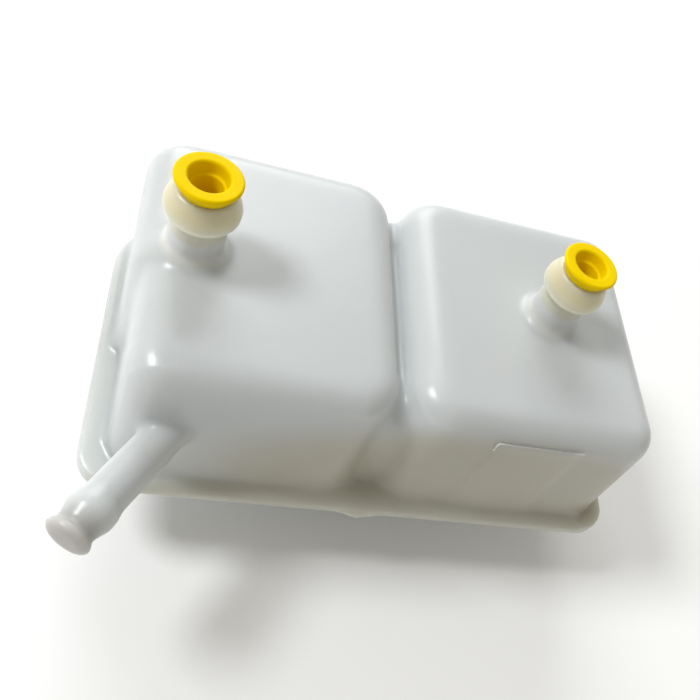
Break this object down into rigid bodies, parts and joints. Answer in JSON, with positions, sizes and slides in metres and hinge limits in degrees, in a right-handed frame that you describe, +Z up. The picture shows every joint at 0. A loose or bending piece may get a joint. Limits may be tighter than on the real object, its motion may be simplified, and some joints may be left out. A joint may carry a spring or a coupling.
{
  "type": "brake fluid reservoir",
  "caption": "Translucent moulded twin-chamber fluid tank with a welded cover, filler neck and screw cap, plugged outlet spigots and an angled side hose nozzle.",
  "frame": {"origin": "centre of the filler cap's outer face, on the plane that the upturned reservoir stands on", "axes": "+X along the length towards the plain end, +Y away from the hose nozzle, +Z up along the filler axis towards the outlet spigots"},
  "size_m": [0.1524, 0.1128, 0.0944],
  "materials": {
    "natural_plastic": "satin translucent moulded",
    "cap_plastic": "satin moulded",
    "seal_rubber": "matt",
    "plug_plastic": "satin moulded"
  },
  "bodies": {
    "reservoir": {"reservoir_body": "natural_plastic", "reservoir_cover": "natural_plastic", "outlet_plug_left": "plug_plastic", "outlet_plug_right": "plug_plastic"},
    "seal": {"cap_seal": "seal_rubber"},
    "cap": {"filler_cap": "cap_plastic"}
  },
  "joints": [
    {"name": "cap_lift", "type": "slide", "parent": "reservoir", "child": "seal", "axis": [0, 0, -1], "range_m": [0, 0.0061]},
    {"name": "cap_turn", "type": "hinge", "parent": "seal", "child": "cap", "pos_m": [0, 0, 0], "axis": [0, 0, -1], "range_deg": [0, 540]}
  ],
  "couplings": [
    {"joint": "cap_lift", "follows": "cap_turn", "m_per_rad": 0.00063662}
  ]
}
